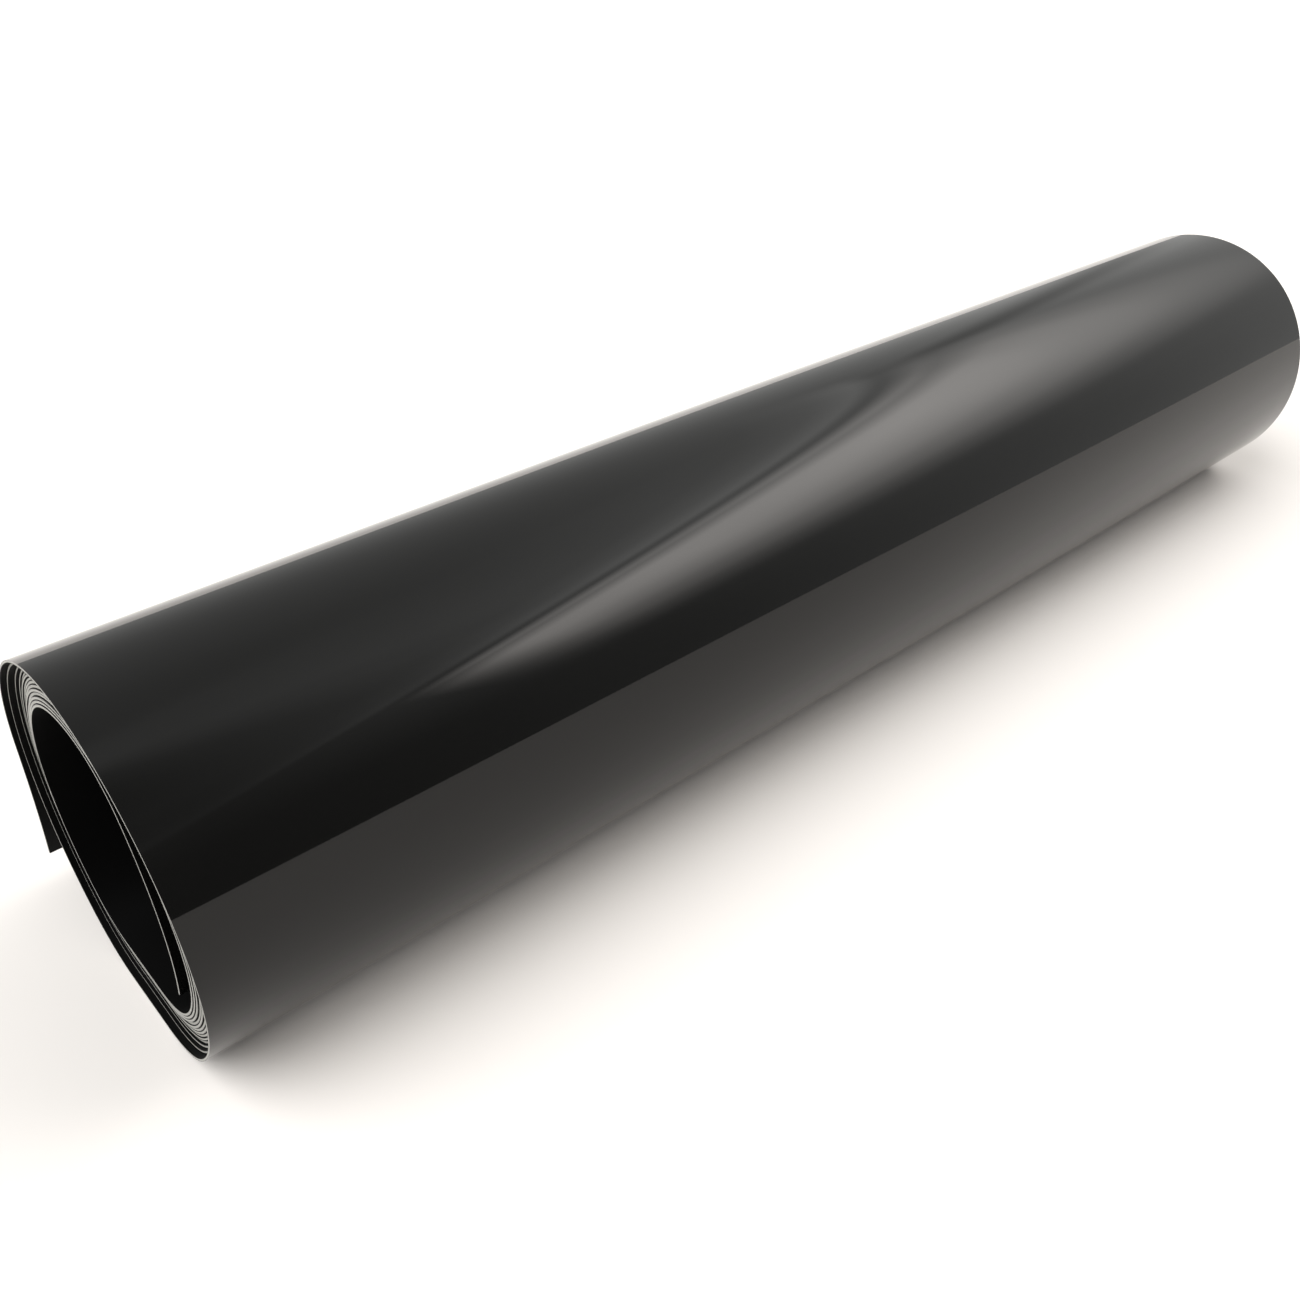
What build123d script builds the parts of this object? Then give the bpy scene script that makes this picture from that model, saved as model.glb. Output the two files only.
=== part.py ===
from build123d import *

import math
import os
from dataclasses import dataclass

# Roll of self-adhesive sign vinyl, wound on itself without a core and lying on its side.
# Millimetres. The roll's axis runs along X and Z points up. The origin is at the middle
# of the underside of the whole object.
#
# The section of the roll is drawn with its own origin on the roll's axis, in Y and Z.
# The sheet is followed from its free outer end, the tail on the +Y side, up over the
# top, down the -Y side, along the underside, and so on inwards to its free inner end.

# Sheet
SHEET_WIDTH = 610.0  # 24 inches, the length of the roll
LAYERS = {  # thickness of each layer, from the outside of the roll inwards
    "face_film": 0.15,
    "adhesive": 0.15,
    "liner": 0.45,
    "back_coat": 0.15,
}

# Winding
BORE_RADIUS = 48.0  # inner face of the innermost wound turn
TURNS = 14
AIR_GAP = 0.20  # between the sheet's turns
SAG = 5.0  # how much the roll flattens under its own weight
CORNER_RADIUS = 28.0  # bend between the flat underside and the round, at the bore

# Free outer end
TAIL_SEAM_DEG = 5.0  # where it leaves the roll, above the horizontal through the axis
TAIL_LENGTH = 52.0
TAIL_CURL_RADIUS = 250.0  # it curls away from the roll

# Free inner end
INNER_SEAM_DEG = 98.0  # where it leaves the wall, just past the top
INNER_BENDS = ((-19.0, 52.0), (27.0, 48.0))  # radius beyond the bore's, and degrees turned

# Between the roll and a free end, so that the end can swing
SEAM_CLEARANCE = 0.3

SHEET_THICKNESS = sum(LAYERS.values())
PITCH = SHEET_THICKNESS + AIR_GAP
FLAT_HALF_WIDTH = math.sqrt(2 * (BORE_RADIUS - CORNER_RADIUS) * SAG - SAG**2)
CORNER_DROP = BORE_RADIUS - SAG - CORNER_RADIUS  # of the corner's centre, below the axis
CORNER_DEG = math.degrees(math.atan2(CORNER_DROP, FLAT_HALF_WIDTH))


@dataclass(frozen=True)
class HalfTurn:
    """Half a turn of the sheet, from the top of the roll to its underside.

    side: 1 on the tail's side, +Y, and -1 on the other.
    growth: how far its film face lies outside the bore.
    rise: how far its centres stand above the roll's axis. Every other half-turn is
    raised by half a pitch, which is what makes the half-turns meet in a smooth spiral.
    """

    side: int
    growth: float
    rise: float

    def on_round(self, degrees, depth=0.0):
        """A point of its large arc, at a depth inside the sheet."""
        radius = BORE_RADIUS + self.growth - depth
        angle = math.radians(degrees)
        return Vector(radius * math.cos(angle), self.rise + radius * math.sin(angle))

    def arcs(self, depth):
        """Its edges at a depth inside the sheet, from the top of the roll to its underside."""
        growth = self.growth - depth
        corner = Vector(self.side * FLAT_HALF_WIDTH, self.rise - CORNER_DROP)
        bottom = self.rise - (BORE_RADIUS - SAG) - growth
        corner_start = -CORNER_DEG if self.side > 0 else 180 + CORNER_DEG
        return [
            CenterArc((0, self.rise), BORE_RADIUS + growth, 90, corner_start - 90),
            CenterArc(corner, CORNER_RADIUS + growth, corner_start, self.side * (CORNER_DEG - 90)),
            Line((corner.X, bottom), (0, bottom)),
        ]


def tail_side(turn):
    """The half-turn on the +Y side of a turn, counted inwards from 0."""
    return HalfTurn(1, SHEET_THICKNESS + (TURNS - 1 - turn) * PITCH, 0.0)


def far_side(turn):
    """The half-turn that follows it, over the top and down the -Y side."""
    return HalfTurn(-1, tail_side(turn).growth - PITCH / 2, PITCH / 2)


def clearance_deg(half_turn):
    """The angle that the seam clearance takes up on a half-turn."""
    return math.degrees(SEAM_CLEARANCE / (BORE_RADIUS + half_turn.growth))


def spin(point, centre, degrees):
    """A point turned about a centre."""
    return centre + (point - centre).rotate(Axis.Z, degrees)


def bend(point, centre, degrees):
    """The arc that a point makes when it is turned about a centre."""
    return ThreePointArc(point, spin(point, centre, degrees / 2), spin(point, centre, degrees))


def roll_path(depth):
    """The wound sheet's line at a depth, from the tail's seam to the inner end's seam."""
    inner = far_side(TURNS - 1)
    radius = BORE_RADIUS + tail_side(0).growth - depth
    edges = [CenterArc((0, 0), radius, TAIL_SEAM_DEG, 90 - TAIL_SEAM_DEG)]
    for turn in range(TURNS - 1):
        edges += far_side(turn).arcs(depth)
        edges += tail_side(turn + 1).arcs(depth)
    radius = BORE_RADIUS + inner.growth - depth
    edges.append(CenterArc((0, inner.rise), radius, 90, INNER_SEAM_DEG - 90))
    return edges


def tail_path(depth):
    """The free outer end's line at a depth, from its seam to its edge."""
    outer = tail_side(0)
    seam_deg = TAIL_SEAM_DEG - clearance_deg(outer)
    centre = outer.on_round(seam_deg, -TAIL_CURL_RADIUS)
    turned = math.degrees(TAIL_LENGTH / TAIL_CURL_RADIUS)
    return [bend(outer.on_round(seam_deg, depth), centre, turned)]


def inner_end_path(depth):
    """The free inner end's line at a depth, from its seam to its edge.

    The radii of its bends follow the bore, so in another bore it keeps its distance
    from the wall.
    """
    inner = far_side(TURNS - 1)
    seam_deg = INNER_SEAM_DEG + clearance_deg(inner)
    face = inner.on_round(seam_deg)
    inward = (Vector(0, inner.rise) - face).normalized()
    edges = []
    for beyond, degrees in INNER_BENDS:
        centre = face + inward * (BORE_RADIUS + beyond)
        edges.append(bend(face + inward * depth, centre, degrees))
        face = spin(face, centre, degrees)
        inward = inward.rotate(Axis.Z, degrees)
    return edges


def layer_solid(path, outside, inside):
    """A layer of the sheet between two depths along a path, at the sheet's full width."""
    outer, inner = Wire(path(outside)), Wire(path(inside))
    closing = []
    for end in (outer @ 0, outer @ 1):
        opposite = min((inner @ 0, inner @ 1), key=lambda point: (point - end).length)
        closing.append(Line(end, opposite))
    section = make_face(outer.edges() + inner.edges() + closing)
    return extrude(Plane.YZ.offset(-SHEET_WIDTH / 2) * section, SHEET_WIDTH)


def sheet_nodes(body, path):
    """Every layer of the sheet along a path, by node name."""
    nodes = {}
    depth = 0.0
    for layer, thickness in LAYERS.items():
        nodes[f"{body}_{layer}"] = layer_solid(path, depth, depth + thickness)
        depth += thickness
    return nodes


def flat_length():
    """The length of the sheet unrolled, measured at the middle of its thickness."""
    middle = SHEET_THICKNESS / 2
    return sum(edge.length for path in PATHS.values() for edge in path(middle))


PATHS = {"roll": roll_path, "tail": tail_path, "inner_end": inner_end_path}

nodes = {}
for body, path in PATHS.items():
    nodes |= sheet_nodes(body, path)

# The origin goes to the middle of the underside
bounds = Compound(children=[node.moved(Location()) for node in nodes.values()]).bounding_box()
SHIFT = Vector(0, -bounds.center().Y, -bounds.min.Z)

os.makedirs("parts", exist_ok=True)
for name, node in nodes.items():
    export_step(node.moved(Location(SHIFT)), f"parts/{name}.step")

print(f"sheet {SHEET_WIDTH:.0f} x {flat_length():.0f} mm unrolled, {SHEET_THICKNESS:.2f} mm thick")
print(f"roll's axis at Y {SHIFT.Y:.3f}, Z {SHIFT.Z:.3f}")
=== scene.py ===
"""A coreless roll of gloss black sign vinyl, lying on its side on a pale floor.

The roll is one sheet wound in a spiral. It is built as its four layers, each in four
stretches: the free outer end, the outermost turn, the turns under it, and the free
inner end. Lengths are in metres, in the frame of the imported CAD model.
"""

import logging
import math
from dataclasses import dataclass, field
from enum import Enum

import bpy
import numpy as np
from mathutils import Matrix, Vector


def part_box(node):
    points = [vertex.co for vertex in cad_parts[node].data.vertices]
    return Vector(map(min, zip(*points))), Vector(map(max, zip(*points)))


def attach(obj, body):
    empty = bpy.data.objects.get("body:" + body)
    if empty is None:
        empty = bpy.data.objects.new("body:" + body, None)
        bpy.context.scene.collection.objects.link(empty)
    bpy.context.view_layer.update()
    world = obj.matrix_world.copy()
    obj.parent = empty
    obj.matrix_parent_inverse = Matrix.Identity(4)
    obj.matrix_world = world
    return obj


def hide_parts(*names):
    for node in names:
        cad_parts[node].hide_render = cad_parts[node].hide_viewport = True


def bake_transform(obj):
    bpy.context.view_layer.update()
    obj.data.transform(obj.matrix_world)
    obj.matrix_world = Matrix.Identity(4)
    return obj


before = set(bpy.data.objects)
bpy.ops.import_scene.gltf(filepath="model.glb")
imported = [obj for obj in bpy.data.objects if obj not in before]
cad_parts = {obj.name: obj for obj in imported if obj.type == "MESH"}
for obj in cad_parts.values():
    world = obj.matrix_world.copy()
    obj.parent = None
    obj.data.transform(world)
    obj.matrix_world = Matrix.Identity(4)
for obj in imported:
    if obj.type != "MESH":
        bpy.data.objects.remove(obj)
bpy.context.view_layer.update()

MM = 0.001
SHARP_DEG = 40  # faces that meet at more than this have a sharp edge
SENSOR_WIDTH = 36.0  # the camera's, in mm
LOG = logging.getLogger("vinyl_roll")


class Layer(Enum):
    """A layer of the sheet: its CAD name, its material slot and its thickness in mm."""

    FACE_FILM = ("face_film", "film", 0.15)
    ADHESIVE = ("adhesive", "adhesive", 0.15)
    LINER = ("liner", "liner", 0.45)
    BACK_COAT = ("back_coat", "back_coat", 0.15)

    @property
    def node(self) -> str:
        """The end of the layer's CAD node names."""
        return self.value[0]

    @property
    def slot(self) -> str:
        """The record's material slot."""
        return self.value[1]

    @property
    def thickness(self) -> float:
        """The layer's thickness in metres."""
        return self.value[2] * MM

    @property
    def depth(self) -> float:
        """How far the layer's outer face lies under the film's, in metres."""
        before = list(Layer)[: list(Layer).index(self)]
        return sum(layer.thickness for layer in before)


@dataclass(frozen=True)
class Winding:
    """The line that the sheet follows in the roll's section, in Y and Z.

    The sheet is a chain of stretches of constant curvature. Each half-turn is a large
    arc, a tighter corner and half of the flat underside, and every half-turn lies half
    a pitch inside the one before it.

    Attributes:
        bore_radius: inner face of the innermost wound turn.
        turns: whole turns in the wall.
        air_gap: between one turn and the next.
        sag: how much the roll flattens under its own weight.
        corner_radius: bend between the underside and the round, at the bore.
        outer_seam: where the free outer end leaves the roll, in degrees above level.
        outer_length: length of the free outer end.
        outer_curl: radius to which it curls away from the roll.
        inner_seam: where the free inner end leaves the wall, in degrees.
        inner_bends: radius beyond the bore's, and degrees, of each bend of the inner end.
    """

    bore_radius: float = 48.0 * MM
    turns: int = 14
    air_gap: float = 0.20 * MM
    sag: float = 5.0 * MM
    corner_radius: float = 28.0 * MM
    outer_seam: float = 5.0
    outer_length: float = 52.0 * MM
    outer_curl: float = 250.0 * MM
    inner_seam: float = 98.0
    inner_bends: tuple[tuple[float, float], ...] = ((-19.0 * MM, 52.0), (27.0 * MM, 48.0))

    @property
    def thickness(self) -> float:
        """The whole sheet's thickness."""
        return sum(layer.thickness for layer in Layer)

    @property
    def pitch(self) -> float:
        """How much the roll's radius grows in a turn."""
        return self.thickness + self.air_gap

    @property
    def outer_radius(self) -> float:
        """The radius of the outermost turn's film face."""
        return self.bore_radius + self.growth(0)

    def growth(self, turn: float) -> float:
        """How far a turn's film face lies outside the bore.

        Args:
            turn: turns inwards from the outermost.

        Returns:
            The distance in metres.
        """
        return self.thickness + (self.turns - 1 - turn) * self.pitch

    @property
    def flat_half(self) -> float:
        """Half the width of the flat underside."""
        spare = self.bore_radius - self.corner_radius
        return math.sqrt(2 * spare * self.sag - self.sag**2)

    @property
    def corner_angle(self) -> float:
        """Where the round meets a corner, in radians below level."""
        drop = self.bore_radius - self.sag - self.corner_radius
        return math.atan2(drop, self.flat_half)

    def half_turn(self, growth: float, downward: bool) -> list[tuple[float, float]]:
        """The length and curvature of each stretch of a half-turn.

        Args:
            growth: how far the half-turn's film face lies outside the bore.
            downward: from the top of the roll to its underside, or the other way.

        Returns:
            (length, curvature) pairs in order along the sheet.
        """
        large = self.bore_radius + growth
        small = self.corner_radius + growth
        parts = [
            (large * (math.pi / 2 + self.corner_angle), 1 / large),
            (small * (math.pi / 2 - self.corner_angle), 1 / small),
            (self.flat_half, 0.0),
        ]
        return parts if downward else parts[::-1]

    def stretches(self) -> list[tuple[float, float]]:
        """Every stretch from the free outer edge to the free inner edge."""
        outer = self.outer_radius
        first = outer * math.radians(90 - self.outer_seam)
        chain = [(self.outer_length, -1 / self.outer_curl), (first, 1 / outer)]
        for turn in range(self.turns - 1):
            chain += self.half_turn(self.growth(turn + 0.5), downward=True)
            chain += self.half_turn(self.growth(turn + 1), downward=False)
        inner = self.bore_radius + self.growth(self.turns - 0.5)
        chain.append((inner * math.radians(self.inner_seam - 90), 1 / inner))
        bends = [(self.bore_radius + beyond, turn) for beyond, turn in self.inner_bends]
        return chain + [(radius * math.radians(turn), 1 / radius) for radius, turn in bends]

    def marks(self) -> dict[str, float]:
        """Where along the sheet its pieces begin and end, in metres from the outer edge."""
        ends = np.cumsum([length for length, _ in self.stretches()])
        return {
            "edge": 0.0,
            "outer_seam": float(ends[0]),
            "flat": float(ends[3]),
            "underside": float(ends[4]),
            "inner_seam": float(ends[-1 - len(self.inner_bends)]),
            "end": float(ends[-1]),
        }

    def turned(self, along: np.ndarray) -> np.ndarray:
        """How many turns the sheet has made: its bending so far, over a whole circle.

        Args:
            along: distances from the free outer edge.

        Returns:
            Turns inwards from the outer seam.
        """
        length, bend = np.array(self.stretches()).T
        ends = np.concatenate([[0.0], np.cumsum(length)])
        angles = np.concatenate([[0.0], np.cumsum(length * bend)]) - length[0] * bend[0]
        return np.interp(along, ends, angles) / (2 * np.pi)

    def line(self, along: np.ndarray) -> tuple[np.ndarray, np.ndarray]:
        """The film face's line: places and outward directions.

        On a stretch of curvature k that starts at P with heading a, the place at u
        along it is P plus a chord of length u sinc(k u / 2) at the heading a + k u / 2.

        Args:
            along: distances from the free outer edge, in metres.

        Returns:
            Two arrays of (Y, Z) about the roll's axis: places and unit normals.
        """
        length, bend = np.array(self.stretches()).T
        start = np.concatenate([[0.0], np.cumsum(length)[:-1]])
        seam = math.radians(self.outer_seam)
        heading = seam + math.pi / 2 - length[0] * bend[0]
        headings = heading + np.concatenate([[0.0], np.cumsum(length * bend)[:-1]])
        steps = chord(length, bend, headings)
        places = np.concatenate([[[0.0, 0.0]], np.cumsum(steps, axis=0)[:-1]])
        at_seam = self.outer_radius * np.array([math.cos(seam), math.sin(seam)])
        places += at_seam - places[1]
        i = np.clip(np.searchsorted(start, along, side="right") - 1, 0, len(start) - 1)
        u = along - start[i]
        where = places[i] + chord(u, bend[i], headings[i])
        facing = headings[i] + bend[i] * u
        return where, np.stack([np.sin(facing), -np.cos(facing)], axis=-1)


def chord(u: np.ndarray, bend: np.ndarray, heading: np.ndarray) -> np.ndarray:
    """The step made by following a constant curvature for a distance.

    Args:
        u: distances.
        bend: curvatures.
        heading: headings at the start, in radians.

    Returns:
        (Y, Z) steps: length u sinc(k u / 2) at the middle heading.
    """
    half = bend * u / 2
    reach = u * np.sinc(half / np.pi)
    return np.stack([reach * np.cos(heading + half), reach * np.sin(heading + half)], axis=-1)


def smooth(t: np.ndarray) -> np.ndarray:
    """A smooth step from 0 to 1 as t goes from 0 to 1: 3t^2 - 2t^3, flat outside."""
    t = np.clip(t, 0.0, 1.0)
    return t * t * (3 - 2 * t)


@dataclass(frozen=True)
class Sheet:
    """The wound sheet in space: its line, its width and what handling did to it.

    Attributes:
        winding: its line in the roll's section.
        axis: (Y, Z) of the roll's axis.
        half_width: half the sheet's width, along X.
        recess: how far the innermost turn has slipped along the roll.
        cup: how deep the cup between the outermost and innermost turns would be.
        cup_reach: how many turns its outer slope takes.
        cup_power: how suddenly that slope begins.
        barrel: how much looser the outer turn is at mid-length.
        uneven: length in turns, height and start in degrees of each slow wave of the slip.
        ripple: half the height of the soft waves in the outer turn.
        ripple_rates: how fast they pass along X and along the sheet, in radians a metre.
        fade: length over which the looseness is lost before the flat underside.
    """

    winding: Winding
    axis: tuple[float, float]
    half_width: float
    recess: float = 2.5 * MM
    cup: float = 5.3 * MM
    cup_reach: float = 1.7
    cup_power: float = 1.5
    barrel: float = 0.8 * MM
    uneven: tuple[tuple[float, float, float], ...] = (
        (2.0, 0.12 * MM, 112.0),
        (1.37, 0.05 * MM, 20.0),
        (3.3, 0.10 * MM, 75.0),
    )
    ripple: float = 0.10 * MM
    ripple_rates: tuple[float, float] = (17.0, 21.0)
    fade: float = 60 * MM

    def slip(self, along: np.ndarray) -> np.ndarray:
        """How far the sheet has slipped along X.

        Over t turns it is the cup's depth times 1 - exp(-(t / reach)^power), less a share
        that grows evenly to bring the innermost turn back to its own recess, plus slow
        waves, which die away within a turn of either seam. So the outermost turns stand
        out, and those under them lie in a cup.

        Args:
            along: distances from the free outer edge.

        Returns:
            The slip, 0 at the outer seam.
        """
        turns = np.clip(self.winding.turned(along), 0.0, self.winding.turns)
        inward = turns / self.winding.turns
        cup = self.cup * (1 - np.exp(-((turns / self.cup_reach) ** self.cup_power)))
        waves = sum(
            height * np.sin(2 * np.pi * turns / length + math.radians(start))
            for length, height, start in self.uneven
        )
        held = smooth(turns) * smooth(self.winding.turns - turns)
        return cup - (self.cup - self.recess) * inward + waves * held

    def looseness(self, along: np.ndarray, x: np.ndarray) -> np.ndarray:
        """How far the outermost turn stands off: a barrel along X and long soft waves.

        It falls to nothing before the flat underside, which the floor holds.

        Args:
            along: distances from the free outer edge.
            x: places along the roll.

        Returns:
            Distances outwards, never negative.
        """
        held = smooth((self.winding.marks()["flat"] - along) / self.fade)
        barrel = self.barrel * (1 - (x / self.half_width) ** 2)
        rate_x, rate_along = self.ripple_rates
        ripple = self.ripple * (1 + np.sin(x * rate_x + along * rate_along))
        return held * (barrel + ripple)

    def points(self, along: np.ndarray, across: np.ndarray, depth: float) -> np.ndarray:
        """Points of the sheet at a depth under its film face.

        Args:
            along: distances from the free outer edge, one for each row.
            across: -1 to 1 over the width, one for each column.
            depth: distance under the film face.

        Returns:
            An array of rows, columns and XYZ.
        """
        where, normal = self.winding.line(along)
        s, t = np.meshgrid(along, across, indexing="ij")
        x = t * self.half_width
        out = self.looseness(s, x) - depth
        section = where[:, None, :] + normal[:, None, :] * out[..., None]
        return np.stack(
            [
                x + self.slip(s),
                self.axis[0] + section[..., 0],
                self.axis[1] + section[..., 1],
            ],
            axis=-1,
        )


def slab_mesh(name: str, outer: np.ndarray, inner: np.ndarray, uv: np.ndarray) -> bpy.types.Mesh:
    """A closed slab between two grids of points.

    The vertices are the outer grid's and then the inner one's. The faces are the two
    grids' squares and one strip of squares along each of the four borders, whose
    corners follow the border once round.

    Args:
        name: the mesh's name.
        outer: rows, columns and XYZ of the outer face.
        inner: the same for the inner face.
        uv: rows, columns and UV of both.

    Returns:
        The mesh, smooth, with its borders sharp.
    """
    rows, cols = outer.shape[:2]
    grid = np.arange(rows * cols).reshape(rows, cols)
    squares = np.stack([grid[:-1, :-1], grid[1:, :-1], grid[1:, 1:], grid[:-1, 1:]], axis=-1)
    squares = squares.reshape(-1, 4)
    border = np.concatenate([grid[:-1, 0], grid[-1, :-1], grid[:0:-1, -1], grid[0, :0:-1]])
    after = np.roll(border, -1)
    under = rows * cols
    rim = np.stack([border, border + under, after + under, after], axis=-1)
    faces = np.concatenate([squares, squares[:, ::-1] + under, rim])
    mesh = bpy.data.meshes.new(name)
    mesh.vertices.add(2 * under)
    both = np.concatenate([outer.reshape(-1, 3), inner.reshape(-1, 3)])
    mesh.vertices.foreach_set("co", both.ravel().astype(np.float32))
    mesh.loops.add(faces.size)
    mesh.loops.foreach_set("vertex_index", faces.ravel().astype(np.int32))
    mesh.polygons.add(len(faces))
    mesh.polygons.foreach_set("loop_start", np.arange(0, faces.size, 4, dtype=np.int32))
    mesh.update(calc_edges=True)
    layer = mesh.uv_layers.new(name="sheet")
    flat = np.concatenate([uv.reshape(-1, 2)] * 2)
    layer.data.foreach_set("uv", flat[faces.ravel()].ravel().astype(np.float32))
    mesh.shade_smooth()
    mesh.set_sharp_from_angle(angle=math.radians(SHARP_DEG))
    mesh.validate()
    return mesh


class Stretch(Enum):
    """A stretch of the sheet that is a piece of its own: its marks, body and grid.

    The values are its first and last mark, the CAD body it belongs to, the distance
    between rows and the number of columns for the film and for the layers under it.
    """

    TAIL = ("edge", "outer_seam", "tail", 2.0 * MM, 81, 41)
    OUTER_TURN = ("outer_seam", "underside", "roll", 2.2 * MM, 161, 41)
    INNER_TURNS = ("underside", "inner_seam", "roll", 3.4 * MM, 9, 5)
    INNER_END = ("inner_seam", "end", "inner_end", 1.5 * MM, 21, 21)

    @property
    def body(self) -> str:
        """The CAD body that the stretch belongs to."""
        return self.value[2]


@dataclass(frozen=True)
class Finish:
    """A finish of the sheet, worked out on Object coordinates.

    Attributes:
        name: the material's name.
        colour: its base colour, linear.
        shade: how far the colour wanders, as a share.
        roughness: the least and the most roughness.
        grain: size of the fine grain.
        bump: height of the fine grain.
        specular: how strongly it mirrors, where 0.5 is ordinary plastic.
        cloud: scale of the slow noise that wanders the colour and the roughness.
        cloud_detail: how many finer noises it holds.
        grain_detail: the same for the fine grain.
    """

    name: str
    colour: tuple[float, float, float]
    shade: float
    roughness: tuple[float, float]
    grain: float
    bump: float
    specular: float = 0.5
    cloud: float = 18.0
    cloud_detail: float = 3.0
    grain_detail: float = 2.0

    def build(self) -> bpy.types.Material:
        """Builds the material: noise wanders the colour and roughness and lifts the grain."""
        material = bpy.data.materials.new(self.name)
        material.use_nodes = True
        nodes, links = material.node_tree.nodes, material.node_tree.links
        shader = nodes["Principled BSDF"]
        place = nodes.new("ShaderNodeTexCoord")
        cloud = nodes.new("ShaderNodeTexNoise")
        cloud.inputs["Scale"].default_value = self.cloud
        cloud.inputs["Detail"].default_value = self.cloud_detail
        links.new(place.outputs["Object"], cloud.inputs["Vector"])
        tint = nodes.new("ShaderNodeMix")
        tint.data_type = "RGBA"
        low = tuple(c * (1 - self.shade) for c in self.colour)
        high = tuple(c * (1 + self.shade) for c in self.colour)
        tint.inputs["A"].default_value = (*low, 1)
        tint.inputs["B"].default_value = (*high, 1)
        links.new(cloud.outputs["Fac"], tint.inputs["Factor"])
        links.new(tint.outputs["Result"], shader.inputs["Base Color"])
        rough = nodes.new("ShaderNodeMapRange")
        rough.inputs["To Min"].default_value = self.roughness[0]
        rough.inputs["To Max"].default_value = self.roughness[1]
        links.new(cloud.outputs["Fac"], rough.inputs["Value"])
        links.new(rough.outputs["Result"], shader.inputs["Roughness"])
        grain = nodes.new("ShaderNodeTexNoise")
        grain.inputs["Scale"].default_value = 1 / self.grain
        grain.inputs["Detail"].default_value = self.grain_detail
        links.new(place.outputs["Object"], grain.inputs["Vector"])
        lift = nodes.new("ShaderNodeBump")
        lift.inputs["Distance"].default_value = self.bump
        lift.inputs["Strength"].default_value = 1.0
        links.new(grain.outputs["Fac"], lift.inputs["Height"])
        links.new(lift.outputs["Normal"], shader.inputs["Normal"])
        shader.inputs["Specular IOR Level"].default_value = self.specular
        return material


FINISHES = {
    Layer.FACE_FILM: Finish(
        "gloss_black_film", (0.0042, 0.0042, 0.0040), 0.2, (0.025, 0.06), 0.5 * MM, 0.0006 * MM, 0.28
    ),
    # The adhesive's pale grey is painted highlight: it stands in for the light that the cut edges
    # catch at the roll's ends.
    Layer.ADHESIVE: Finish(
        "adhesive_painted_edge_highlight", (0.16, 0.16, 0.15), 0.1, (0.3, 0.5), 0.3 * MM, 0.01 * MM, 0.3
    ),
    # The liner's pale grey is painted highlight: it stands in for the light that the cut edges catch
    # at the roll's ends.
    Layer.LINER: Finish(
        "liner_painted_edge_highlight", (0.35, 0.35, 0.325), 0.15, (0.6, 0.8), 0.15 * MM, 0.02 * MM, 0.3
    ),
    Layer.BACK_COAT: Finish(
        "black_back_coat", (0.002, 0.002, 0.002), 0.2, (0.5, 0.65), 0.3 * MM, 0.004 * MM, 0.06
    ),
}


@dataclass
class VinylRoll:
    """The whole roll: builds and dresses every stretch of every layer, and attaches the roll's own
    stretches to its body.

    Attributes:
        sheet: the sheet in space.
        tail_bend: where the tail would bend when it swings, before its seam and after it; not used.
        inner_bend: the same for the free inner end; not used.
    """

    sheet: Sheet
    tail_bend: tuple[float, float] = (10 * MM, 10 * MM)
    inner_bend: tuple[float, float] = (4 * MM, 20 * MM)
    materials: dict = field(default_factory=dict)

    def build(self) -> list[bpy.types.Object]:
        """Builds every piece and returns them."""
        self.materials = {layer: FINISHES[layer].build() for layer in Layer}
        return [self.piece(stretch, layer) for stretch in Stretch for layer in Layer]

    def piece(self, stretch: Stretch, layer: Layer) -> bpy.types.Object:
        """Builds one layer of one stretch.

        Args:
            stretch: which stretch of the sheet.
            layer: which of its layers.

        Returns:
            The finished piece.
        """
        first, last, _, step, film_columns, columns = stretch.value
        marks = self.sheet.winding.marks()
        start, end = marks[first], marks[last]
        if layer is Layer.FACE_FILM:
            columns = film_columns
        along = np.linspace(start, end, max(2, math.ceil((end - start) / step) + 1))
        across = np.linspace(-1.0, 1.0, columns)
        outer = self.sheet.points(along, across, layer.depth)
        inner = self.sheet.points(along, across, layer.depth + layer.thickness)
        s, t = np.meshgrid(along, across * self.sheet.half_width, indexing="ij")
        name = f"{stretch.name.lower()}_{layer.node}"
        mesh = slab_mesh(name, outer, inner, np.stack([s, t], axis=-1))
        mesh.materials.append(self.materials[layer])
        piece = bpy.data.objects.new(name, mesh)
        bpy.context.scene.collection.objects.link(piece)
        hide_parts(f"{stretch.body}_{layer.node}")
        self.attach(piece, stretch)
        return piece

    def attach(self, piece: bpy.types.Object, stretch: Stretch) -> None:
        """Rides a piece of the roll on its body; any other piece stays where it is, its transform
        baked into its mesh.

        Args:
            piece: the finished piece.
            stretch: the stretch it belongs to.
        """
        if stretch.body == "roll":
            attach(piece, "roll")
            return
        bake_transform(piece)


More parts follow.
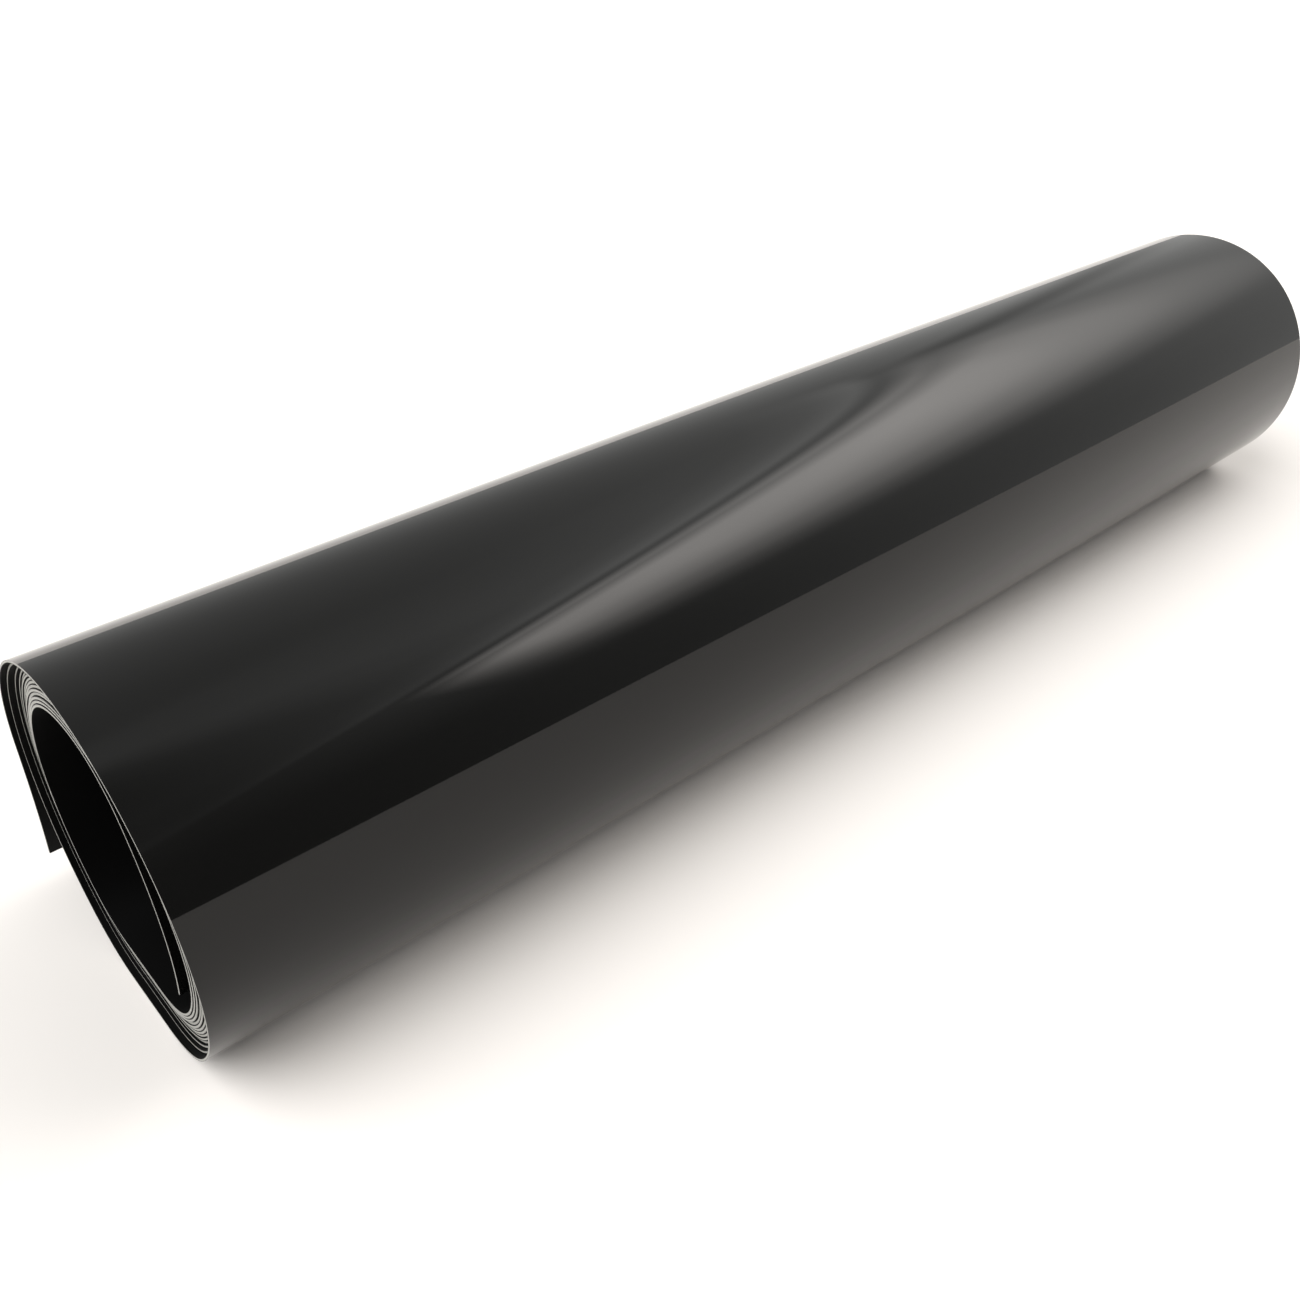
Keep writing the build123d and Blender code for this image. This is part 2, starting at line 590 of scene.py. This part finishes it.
@dataclass(frozen=True)
class Ramp:
    """A curve through (place, level) stops, as a Color Ramp node over a range of values.

    Attributes:
        stops: (value, level) pairs in rising order of value.
        peak: the level that the ramp's white stands for.
        interpolation: the Color Ramp's own name for how it joins the stops.
    """

    stops: tuple[tuple[float, float], ...]
    peak: float = 1.0
    interpolation: str = "CARDINAL"

    def build(self, tree: bpy.types.NodeTree, value: bpy.types.NodeSocket) -> bpy.types.NodeSocket:
        """Adds the nodes: the value is mapped to 0 to 1, ramped, and multiplied by the peak.

        Args:
            tree: the node tree.
            value: the socket that gives the value.

        Returns:
            The socket that gives the level.
        """
        low, high = self.stops[0][0], self.stops[-1][0]
        place = tree.nodes.new("ShaderNodeMapRange")
        place.inputs["From Min"].default_value = low
        place.inputs["From Max"].default_value = high
        tree.links.new(value, place.inputs["Value"])
        ramp = tree.nodes.new("ShaderNodeValToRGB")
        ramp.color_ramp.interpolation = self.interpolation
        elements = ramp.color_ramp.elements
        for _ in self.stops[2:]:
            elements.new(0.5)
        for element, (where, level) in zip(elements, self.stops):
            element.position = (where - low) / (high - low)
            element.color = (*[level / self.peak] * 3, 1)
        tree.links.new(place.outputs["Result"], ramp.inputs["Fac"])
        return calculate(tree, "MULTIPLY", ramp.outputs["Color"], self.peak)


def calculate(
    tree: bpy.types.NodeTree,
    operation: str,
    first: bpy.types.NodeSocket,
    second: bpy.types.NodeSocket | float,
) -> bpy.types.NodeSocket:
    """Adds a Math node.

    Args:
        tree: the node tree.
        operation: the node's operation.
        first: its first input.
        second: its second input, a socket or a number.

    Returns:
        Its output.
    """
    node = tree.nodes.new("ShaderNodeMath")
    node.operation = operation
    tree.links.new(first, node.inputs[0])
    if isinstance(second, bpy.types.NodeSocket):
        tree.links.new(second, node.inputs[1])
    else:
        node.inputs[1].default_value = second
    return node.outputs["Value"]


@dataclass(frozen=True)
class Surround:
    """The studio around the roll: a dim wall that brightens to one side, and a window.

    It lights the roll and is mirrored in it. The camera sees a plain white backdrop in
    its place. Levels are radiances, where 1 is white. Directions are unit vectors from
    the roll.

    Attributes:
        wall: level by azimuth, in degrees from +X.
        lift: how much brighter the wall gets with height, by the direction's Z.
        lift_span: where that happens, by azimuth.
        post: how much darker a post in the wall is, by azimuth.
        window: level of the window by the direction's Z.
        window_side: where the window begins, by azimuth.
        high: where the window's rim is and the post isn't, by the direction's Z.
        rim: direction that faces away from the window's slanting rim.
        rim_place: how far along it the rim lies.
        at_rim: what the frame adds to the wall, by distance over the rim.
        inside_rim: window's share by distance over the rim.
        tint: colour of the window's light.
        wall_tint: colour of the wall's light.
    """

    wall: Ramp = Ramp(
        (
            (-180, 0.8),
            (-120, 0.3),
            (-80, 0.11),
            (-62, 0.23),
            (-50, 0.41),
            (-40, 0.62),
            (-30, 0.74),
            (-20, 0.82),
            (30, 0.74),
            (50, 0.6),
            (90, 0.6),
            (180, 0.8),
        )
    )
    lift: Ramp = Ramp(((-1.0, 0.0), (0.4, 0.0), (0.74, 1.0), (0.84, 0.7), (0.96, 0.1), (1.0, 0.0)))
    lift_span: Ramp = Ramp(((-180, 1.0), (-10, 1.1), (35, 0.2), (180, 0.2)), peak=1.1)
    post: Ramp = Ramp(((-180, 0.0), (27, 0.0), (31, 0.4), (35, 0.0), (180, 0.0)))
    window: Ramp = Ramp(
        (
            (-1.0, 0.0),
            (0.3, 0.0),
            (0.42, 0.2),
            (0.5, 1.2),
            (0.574, 2.8),
            (0.643, 4.8),
            (0.707, 6.0),
            (0.77, 6.4),
            (1.0, 6.4),
        ),
        peak=6.4,
    )
    window_side: Ramp = Ramp(
        ((-180, 0.0), (-59, 0.0), (-50, 1.0), (-25, 0.9), (0, 0.78), (40, 0.6), (60, 0.0), (180, 0.0))
    )
    high: Ramp = Ramp(((-1.0, 0.0), (0.4, 0.0), (0.5, 1.0), (1.0, 1.0)))
    rim: tuple[float, float, float] = (-0.7682, 0.3914, 0.5066)
    rim_place: float = -0.1487
    at_rim: Ramp = Ramp(
        (
            (-0.12, 0.0),
            (-0.1, 0.0),
            (-0.03, -0.2),
            (-0.006, -0.7),
            (0.004, -0.7),
            (0.022, 0.6),
            (0.06, 0.2),
            (0.12, 0.0),
        ),
        interpolation="LINEAR",
    )
    inside_rim: Ramp = Ramp(
        ((-0.12, 1.0), (-0.085, 0.95), (-0.045, 0.4), (-0.03, 0.48), (-0.004, 0.0), (0.1, 0.0)),
        interpolation="LINEAR",
    )
    tint: tuple[float, float, float] = (1.05, 1.0, 0.96)
    wall_tint: tuple[float, float, float] = (1.0, 1.0, 0.98)

    def build(self) -> None:
        """Builds the world: wall x (1 + each share) + window x side x its share at the rim."""
        world = bpy.data.worlds.new("surround")
        world.use_nodes = True
        tree = world.node_tree
        place = tree.nodes.new("ShaderNodeTexCoord")
        direction = place.outputs["Object"]
        split = tree.nodes.new("ShaderNodeSeparateXYZ")
        tree.links.new(direction, split.inputs["Vector"])
        turn = calculate(tree, "ARCTAN2", split.outputs["Y"], split.outputs["X"])
        azimuth = calculate(tree, "MULTIPLY", turn, math.degrees(1.0))
        height = split.outputs["Z"]
        dot = tree.nodes.new("ShaderNodeVectorMath")
        dot.operation = "DOT_PRODUCT"
        tree.links.new(direction, dot.inputs[0])
        dot.inputs[1].default_value = self.rim
        over_rim = calculate(tree, "SUBTRACT", dot.outputs["Value"], self.rim_place)
        lift = calculate(
            tree, "MULTIPLY", self.lift.build(tree, height), self.lift_span.build(tree, azimuth)
        )
        high = self.high.build(tree, height)
        rim = calculate(tree, "MULTIPLY", self.at_rim.build(tree, over_rim), high)
        low = calculate(tree, "ADD", calculate(tree, "MULTIPLY", high, -1.0), 1.0)
        post = calculate(tree, "MULTIPLY", self.post.build(tree, azimuth), low)
        wall = self.wall.build(tree, azimuth)
        for share in (lift, rim, calculate(tree, "MULTIPLY", post, -1.0)):
            wall = calculate(tree, "MULTIPLY", wall, calculate(tree, "ADD", share, 1.0))
        side = self.window_side.build(tree, azimuth)
        window = calculate(tree, "MULTIPLY", self.window.build(tree, height), side)
        window = calculate(tree, "MULTIPLY", window, self.inside_rim.build(tree, over_rim))
        wall_light = tree.nodes["Background"]
        window_light = tree.nodes.new("ShaderNodeBackground")
        wall_light.inputs["Color"].default_value = (*self.wall_tint, 1)
        window_light.inputs["Color"].default_value = (*self.tint, 1)
        tree.links.new(wall, wall_light.inputs["Strength"])
        tree.links.new(window, window_light.inputs["Strength"])
        both = tree.nodes.new("ShaderNodeAddShader")
        tree.links.new(wall_light.outputs["Background"], both.inputs[0])
        tree.links.new(window_light.outputs["Background"], both.inputs[1])
        backdrop = tree.nodes.new("ShaderNodeBackground")
        backdrop.inputs["Color"].default_value = (1.0, 1.0, 1.0, 1)
        path = tree.nodes.new("ShaderNodeLightPath")
        seen = tree.nodes.new("ShaderNodeMixShader")
        tree.links.new(path.outputs["Is Camera Ray"], seen.inputs[0])
        tree.links.new(both.outputs["Shader"], seen.inputs[1])
        tree.links.new(backdrop.outputs["Background"], seen.inputs[2])
        tree.links.new(seen.outputs["Shader"], tree.nodes["World Output"].inputs["Surface"])
        bpy.context.scene.world = world


@dataclass
class Studio:
    """The pale floor, the soft light and the camera.

    Attributes:
        target: the middle of the roll's near end.
        radius: the roll's radius, in which the camera's place is counted.
        azimuth: the camera's turn about Z, in degrees.
        pitch: how far it looks down, in degrees.
        lens: its focal length in mm.
        camera_from_target: its place, in radii of the roll from the target.
        overhead: strength of the soft light from above.
        overhead_from: the direction that the light comes from.
        overhead_width: how wide the light looks, in degrees.
        floor_colour: colour of the floor.
        floor_roughness: its roughness.
        floor_reach: how far it reaches each way.
    """

    target: Vector
    radius: float
    azimuth: float = -41.9
    pitch: float = 33.98
    lens: float = 33.98
    camera_from_target: tuple[float, float, float] = (-0.846, -4.643, 3.882)
    overhead: float = 2.2
    overhead_from: tuple[float, float, float] = (-0.62, 0.2, 0.76)
    overhead_width: float = 60.0
    floor_colour: tuple[float, float, float] = (0.92, 0.885, 0.855)
    floor_roughness: float = 0.95
    floor_reach: float = 15.0

    def build(self) -> None:
        """Lays the floor, lights it and stands the camera."""
        self.floor()
        Surround().build()
        self.light()
        self.camera()
        bpy.context.scene.view_settings.view_transform = "Standard"

    def floor(self) -> None:
        """A wide pale floor that the roll rests on."""
        mesh = bpy.data.meshes.new("floor")
        reach = self.floor_reach
        corners = [(-reach, -reach, 0), (reach, -reach, 0), (reach, reach, 0), (-reach, reach, 0)]
        mesh.from_pydata(corners, [], [(0, 1, 2, 3)])
        material = bpy.data.materials.new("pale_floor")
        material.use_nodes = True
        shader = material.node_tree.nodes["Principled BSDF"]
        shader.inputs["Base Color"].default_value = (*self.floor_colour, 1)
        shader.inputs["Roughness"].default_value = self.floor_roughness
        shader.inputs["Specular IOR Level"].default_value = 0.0
        mesh.materials.append(material)
        floor = bpy.data.objects.new("floor", mesh)
        bpy.context.scene.collection.objects.link(floor)

    def light(self) -> None:
        """A very wide soft light from above, so that the floor has no hard shadow."""
        light = bpy.data.lights.new("overhead", "SUN")
        light.energy = self.overhead
        light.angle = math.radians(self.overhead_width)
        lamp = bpy.data.objects.new("overhead", light)
        lamp.rotation_euler = (-Vector(self.overhead_from)).to_track_quat("-Z", "Y").to_euler()
        bpy.context.scene.collection.objects.link(lamp)

    def camera(self) -> None:
        """Stands the camera above and beside the roll's near end."""
        data = bpy.data.cameras.new("camera")
        data.lens = self.lens
        data.sensor_width = SENSOR_WIDTH
        data.clip_start = 10 * MM
        camera = bpy.data.objects.new("camera", data)
        camera.location = self.target + Vector(self.camera_from_target) * self.radius
        tilt = math.radians(90 - self.pitch)
        camera.rotation_euler = (tilt, 0.0, math.radians(self.azimuth))
        bpy.context.scene.collection.objects.link(camera)
        bpy.context.scene.camera = camera


def main() -> None:
    """Builds the roll and the studio."""
    logging.basicConfig(level=logging.INFO, format="%(name)s: %(message)s")
    winding = Winding()
    low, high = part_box("roll_face_film")
    far_side = winding.outer_radius - winding.pitch / 2
    axis = (low.y + far_side, high.z - winding.outer_radius)
    half_width = (high.x - low.x) / 2
    sheet = Sheet(winding, axis, half_width)
    for piece in VinylRoll(sheet).build():
        LOG.info("built %s: %d faces", piece.name, len(piece.data.polygons))
    Studio(Vector((low.x, *axis)), winding.outer_radius).build()


if __name__ == "__main__":
    main()
